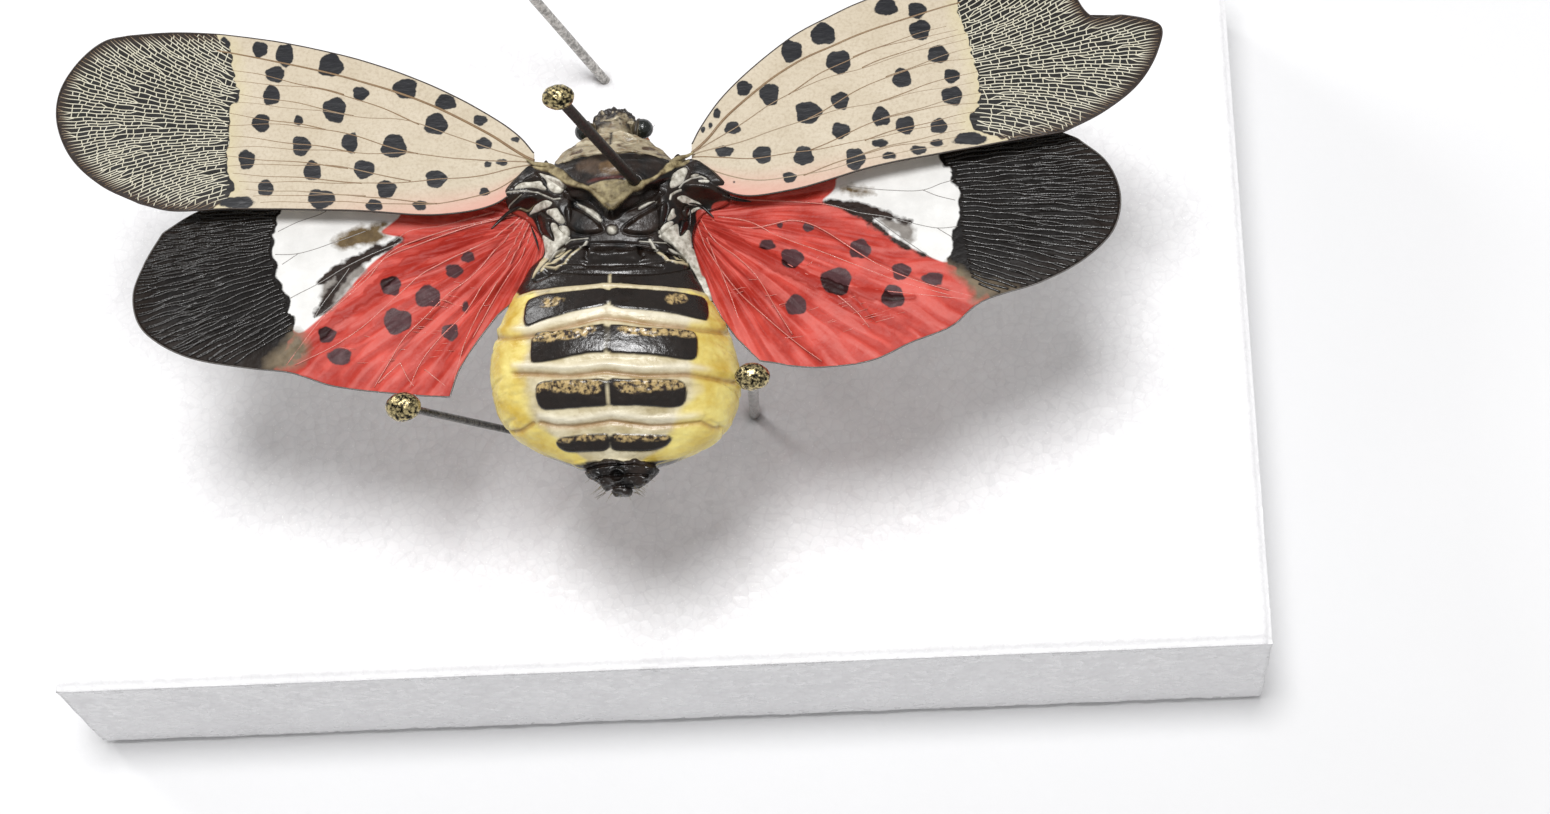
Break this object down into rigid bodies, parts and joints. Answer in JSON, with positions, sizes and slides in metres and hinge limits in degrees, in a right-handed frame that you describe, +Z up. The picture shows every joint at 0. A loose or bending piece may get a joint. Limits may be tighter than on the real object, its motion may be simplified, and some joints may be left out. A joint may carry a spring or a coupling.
{
  "type": "pinned lanternfly specimen",
  "caption": "Spread lanternfly with spotted fore wings, red hind wings and a swollen yellow abdomen, held above a foam block by insect pins.",
  "frame": {"origin": "centre of the foam block's underside", "axes": "+Z up, +Y towards the insect's head, +X towards its right wings"},
  "size_m": [0.0596, 0.039, 0.0415],
  "materials": {
    "foam": "white closed-cell foam with a sparkling skin",
    "brass_pin": "tarnished, dark shaft",
    "steel_pin": "dull shaft with a mottled head",
    "fore_wing": "tan leathery membrane with black spots",
    "hind_wing": "red, white and black membrane",
    "tan_shell": "mottled tan shell",
    "dark_shell": "dark glossy shell",
    "abdomen_skin": "stretched yellow skin with dark plates",
    "eye": "glossy dark bead",
    "antenna": "orange bulb"
  },
  "bodies": {
    "root": {"foam_block": "foam", "pin_main": "brass_pin", "pin_left": "steel_pin", "pin_right": "steel_pin", "pin_front": "steel_pin", "forewing_left": "fore_wing", "forewing_right": "fore_wing", "hindwing_left": "hind_wing", "hindwing_right": "hind_wing", "pronotum": "tan_shell", "mesothorax": "dark_shell", "metathorax": "dark_shell", "head": "dark_shell", "abdomen": "abdomen_skin", "abdomen_tip": "dark_shell", "rostrum": "dark_shell", "eye_left": "eye", "eye_right": "eye", "antenna_left": "antenna", "antenna_right": "antenna", "leg_fore_left": "dark_shell", "leg_mid_left": "dark_shell", "leg_hind_left": "dark_shell", "leg_fore_right": "dark_shell", "leg_mid_right": "dark_shell", "leg_hind_right": "dark_shell"}
  },
  "joints": []
}
